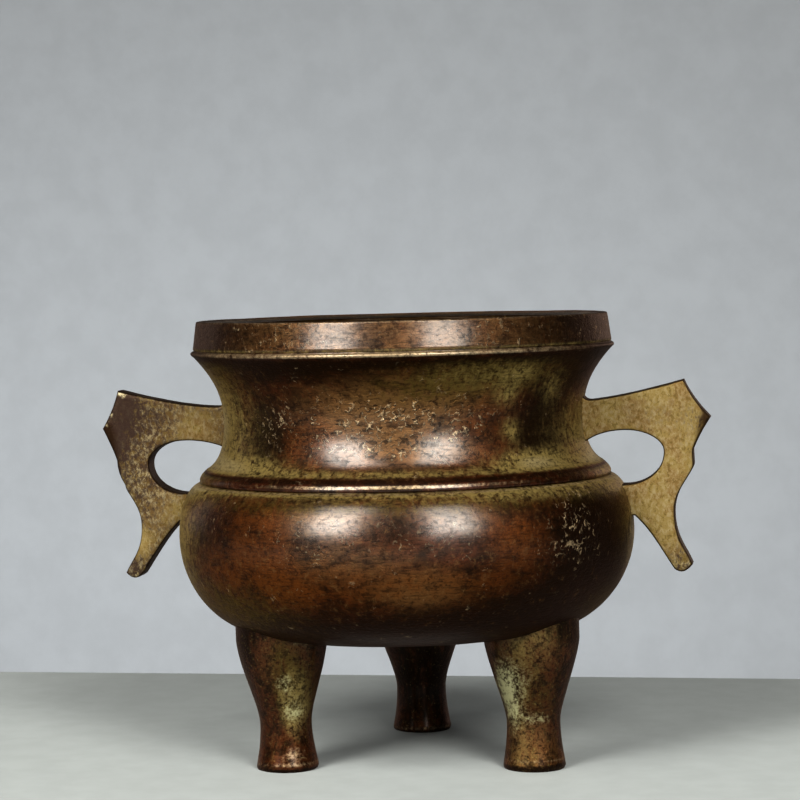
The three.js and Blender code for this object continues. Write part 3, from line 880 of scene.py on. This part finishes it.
def ear_marks(name, s):
    """Where an ear is dark or worn, and where shade, light and highlights are painted on it. Its flanks are
    dark all over.
    """
    def marks(co):
        place = (abs(co.x) / MM, co.z / MM)
        flank = soft_step((s.thick / 2 - abs(co.y)) / MM, 0.04, 0.24)
        found = {key: painted(place, rows) for key, rows in EAR_MARKS[name].items()}
        found["edge"] += 0.95 * flank
        found["worn"] *= 1 - 0.8 * flank
        return found

    return marks


class BURNER_OT_ears(bpy.types.Operator):
    """Cuts the two halberd-shaped ears and gives them the dry khaki deposit"""

    bl_idname = "burner.ears"
    bl_label = "Ears"

    def execute(self, context):
        s = context.scene.burner_ears
        bowl = context.scene.burner_bowl
        material = earthy_copper(context.scene.burner_colours)
        for name, ear in EARS.items():
            bm = ear_mesh(ear, s, bowl)
            uneven(bm, coarse=0.12 * MM, fine=0.06 * MM, seed=7 + ear["turn"])
            bm.transform(Matrix.Rotation(ear["turn"], 4, "Z"))
            finish_piece(bm, "cast_" + name, name, ear_marks(name, s), material)
        return {"FINISHED"}


# Each leg has its own girth in millimetres, and its own rake in degrees
LEGS = {
    "leg_back": {"angle": 90, "waist": 6.9, "thigh": 12.8, "rake": 0.2},
    "leg_left": {"angle": 210, "waist": 6.8, "thigh": 12, "rake": 1.3},
    "leg_right": {"angle": 330, "waist": 7, "thigh": 12.5, "rake": 0.3},
}

# How far the three legs are turned round the bowl, in degrees
LEG_TURN = 4.5

# What is painted on every leg: shade under the bowl and at the sole, and wear and a highlight just above the
# sole
LEG_MARKS = {
    "amber": [((-9, -8, 5, 14), 0.15, ())],
    "bronze": [(ALL, 0.25, ())],
    "umber": [((30, 38, 130, 131), 0.4, ()), ((-9, -8, 0.5, 1.1), 1, ())],
    "olive": [],
    "khaki": [],
    "verdigris": [],
    "worn": [((0.9, 1.4, 1.8, 3), 0.3, ())],
}

# What is painted on each leg besides. Spots are in millimetres to the right, to the back and up.
# The umber spots are painted shade down the sides of the front legs, and darken the back leg all over
LEG_SPOTS = {
    "leg_left": {
        "olive": [
            ((-27, -31, 23), (6, 12, 10), 0.8), ((-20, -29, 16), (5, 9, 9), 0.5),
            ((-29, -31, 34), (4, 9, 5), 0.3),
        ],
        "bronze": [((-29, -31, 31), (6, 9, 8), 0.4)],
        "amber": [((-32, -29, 22), (8, 9, 14), -0.1)],
        "khaki": [((-26.6, -31, 18), (3.8, 9, 8), 1.2)],
        "verdigris": [
            ((-28.5, -31, 23.5), (2.8, 9, 2.6), 0.5), ((-27, -31, 16), (3, 9, 3.6), 0.62),
            ((-23.5, -31, 36.5), (3.4, 9, 2), 0.6), ((-23, -30, 35), (6, 9, 4), 0.15),
        ],
        "umber": [((-42, -24, 26), (7, 12, 30), 1.1), ((-16, -18, 26), (5, 9, 30), 1.1)],
        "worn": [((-27, -30, 4.5), (4, 6, 2.4), 0.42)],
    },
    "leg_right": {
        "khaki": [
            ((38, -28, 37), (9, 12, 5), 0.5), ((32, -28, 28), (8, 12, 9), 0.35),
            ((30, -28, 15), (5, 9, 6), 0.6), ((32, -25, 4), (6, 9, 7), 0.4),
        ],
        "olive": [((29, -28, 30), (8, 9, 14), 0.45), ((38, -26, 18), (8, 12, 10), 0.4)],
        "verdigris": [
            ((27, -27, 21), (4.4, 9, 7), 0.62), ((28.5, -27, 14), (3.6, 9, 8), 0.5),
            ((36, -28, 13), (6, 9, 2), 0.45), ((32, -28, 24), (7, 9, 6), 0.2),
        ],
        "umber": [((48, -16, 22), (8, 12, 30), 1.1), ((22, -14, 30), (4, 9, 12), 0.8)],
        "bronze": [((34, -24, 5), (8, 9, 7), 0.7), ((36, -26, 34), (9, 12, 8), 0.5)],
        "amber": [((34, -24, 4), (12, 12, 8), -0.45), ((36, -27, 28), (7, 9, 8), 0.3)],
    },
    "leg_back": {"umber": [((0, 37, 20), (20, 20, 30), 0.9)]},
}


def leg_marks(name):
    """Where a leg is dark, worn or crusted, and where shade and highlights are painted on it."""
    def marks(co):
        place = tuple(co / MM)
        found = {key: painted(place, rows) for key, rows in LEG_MARKS.items()}
        for key, spots in LEG_SPOTS[name].items():
            found[key] += patches(place, spots)
        return found

    return marks


def leg_profile(leg, s):
    end = point(0, -s.spare)
    edge = point(s.sole_r - s.sole_round, -s.spare)
    sole = point(s.sole_r, s.sole_round)
    waist = point(leg["waist"] * MM, s.waist_z)
    thigh = point(leg["thigh"] * MM, s.thigh_z)
    top = point(thigh.x, s.thigh_z + s.head)
    return [
        *bend(4, end, edge),
        *bend(5, edge, point(s.sole_r, 0), sole),
        *eased(12, sole, waist, (0.5, 0.3), (1, 0.6)),
        *eased(24, waist, thigh, (0, 0.22), (0.86, 0.66)),
        *bend(14, thigh, top),
        *bend(5, top, point(0, top.z)),
        point(0, top.z),
    ]


class BURNER_OT_legs(bpy.types.Operator):
    """Turns the three legs, copes them to the bowl and gives them the brown patina with verdigris"""

    bl_idname = "burner.legs"
    bl_label = "Legs"

    def execute(self, context):
        s = context.scene.burner_legs
        outer = outer_profile(context.scene.burner_bowl)
        material = crusted_copper(context.scene.burner_colours)
        for name, leg in LEGS.items():
            angle = math.radians(leg["angle"] + LEG_TURN)
            x = s.circle_r * math.cos(angle) + s.shift
            y = s.circle_r * math.sin(angle)
            ground = (y * math.tan(LEAN_BACK) - x * math.sin(LEAN_SIDE)) / math.cos(LEAN_SIDE)
            bm = turned(leg_profile(leg, s), LEG_STEPS)
            uneven(bm, coarse=0.16 * MM, fine=0.06 * MM, seed=11 + leg["angle"])
            raked = Matrix.Rotation(-math.radians(leg["rake"]), 4, "Y")
            bm.transform(Matrix.Translation((x, y, ground)) @ raked)
            for v in bm.verts:
                v.co.z = min(v.co.z, height_at(outer, math.hypot(v.co.x, v.co.y)) + s.sunk)
            bm.transform(LEAN)
            cut = bmesh.ops.bisect_plane(
                bm, geom=bm.verts[:] + bm.edges[:] + bm.faces[:], dist=1e-7, plane_co=(0, 0, 0),
                plane_no=(0, 0, 1), clear_inner=True,
            )["geom_cut"]
            bmesh.ops.holes_fill(bm, edges=[g for g in cut if isinstance(g, bmesh.types.BMEdge)], sides=0)
            bmesh.ops.recalc_face_normals(bm, faces=bm.faces)
            bm.transform(LEAN.inverted())
            finish_piece(bm, "cast_" + name, name, leg_marks(name), material)
        return {"FINISHED"}


# The stage

def stage_block(name, low, high, material):
    bm = bmesh.new()
    bmesh.ops.create_cube(bm, size=1)
    for v in bm.verts:
        v.co = Vector(a + (b - a) * (c + 0.5) for a, b, c in zip(low, high, v.co))
    add_object(name, bm, material)


def soft_box(name, turn, rise, distance, width, height, power, aim=AIM, tone=WARM_WHITE):
    """A soft box at a turn from the front towards +X and a rise above the table, both in degrees."""
    data = bpy.data.lights.new(name, "AREA")
    data.shape = "RECTANGLE"
    data.size = width
    data.size_y = height
    data.energy = power
    data.color = tone
    lamp = bpy.data.objects.new(name, data)
    turn, rise = math.radians(turn), math.radians(rise)
    back = Vector((math.sin(turn) * math.cos(rise), -math.cos(turn) * math.cos(rise), math.sin(rise)))
    lamp.location = aim + back * distance
    lamp.rotation_euler = (-back).to_track_quat("-Z", "Y").to_euler()
    bpy.context.collection.objects.link(lamp)


class BURNER_OT_stage(bpy.types.Operator):
    """Sets the camera, the table, the backdrop and the soft boxes"""

    bl_idname = "burner.stage"
    bl_label = "Stage"

    def execute(self, context):
        scene = context.scene
        c = scene.burner_colours
        data = bpy.data.cameras.new("studio_camera")
        data.sensor_width = SENSOR
        data.lens = LENS
        camera = bpy.data.objects.new("studio_camera", data)
        right = CAMERA_AHEAD.cross(CAMERA_UP)
        axes = Matrix((right, CAMERA_UP, -CAMERA_AHEAD)).transposed().to_4x4()
        camera.matrix_world = Matrix.Translation(CAMERA_PLACE) @ axes
        context.collection.objects.link(camera)
        scene.camera = camera

        table = plain_material("Painted table, pale grey", c.table, 0.75, 9, 0.05)
        paper = plain_material("Backdrop paper, grey", c.paper, 0.9, 30, 0.02)
        stage_block("table", (-1.6, -1.6, -0.03), (1.6, 0.1245, 0), table)
        stage_block("backdrop", (-4, 1.9, -2), (4, 1.92, 3), paper)
        stage_block("studio_floor", (-4, -3, -0.75), (4, 1.9, -0.73), paper)

        soft_box("soft_box_left", -31, 31, 1.1, 0.4, 0.85, 18.5)
        soft_box("soft_box_right", 31, 30, 1.1, 0.38, 0.85, 15.8)
        soft_box("soft_box_far_left", -125, 9, 1.2, 0.5, 0.5, 1.2)
        soft_box("soft_box_far_right", 150, 9, 1.2, 0.5, 0.5, 1.6)
        soft_box("backdrop_light", 0, -15, 0.8, 1.7, 0.3, 7.6, Vector((-0.5, 1.9, 0)), (1, 1, 1))

        world = bpy.data.worlds.new("studio_air")
        scene.world = world
        world.use_nodes = True
        air = world.node_tree.nodes["Background"]
        air.inputs["Color"].default_value = (0.6, 0.62, 0.64, 1)
        air.inputs["Strength"].default_value = 0.03
        scene.view_settings.view_transform = "Standard"
        scene.view_settings.gamma = 0.85
        return {"FINISHED"}


OPERATORS = (BURNER_OT_stage, BURNER_OT_bowl, BURNER_OT_ears, BURNER_OT_legs)


class BURNER_PT_build(bpy.types.Panel):
    """Lists the steps that build the burner"""

    bl_label = "Incense Burner"
    bl_idname = "BURNER_PT_build"
    bl_space_type = "VIEW_3D"
    bl_region_type = "UI"
    bl_category = "Burner"

    def draw(self, context):
        for operator in OPERATORS:
            self.layout.operator(operator.bl_idname)


GROUPS = {
    "burner_bowl": BurnerBowlSizes,
    "burner_ears": BurnerEarSizes,
    "burner_legs": BurnerLegSizes,
    "burner_colours": BurnerColours,
}


def register():
    for cls in (*GROUPS.values(), *OPERATORS, BURNER_PT_build):
        bpy.utils.register_class(cls)
    for name, group in GROUPS.items():
        setattr(bpy.types.Scene, name, PointerProperty(type=group))


def unregister():
    for name in GROUPS:
        delattr(bpy.types.Scene, name)
    for cls in reversed((*GROUPS.values(), *OPERATORS, BURNER_PT_build)):
        bpy.utils.unregister_class(cls)


def main():
    register()
    bpy.ops.burner.stage()
    bpy.ops.burner.bowl()
    bpy.ops.burner.ears()
    bpy.ops.burner.legs()


if __name__ == "__main__":
    main()
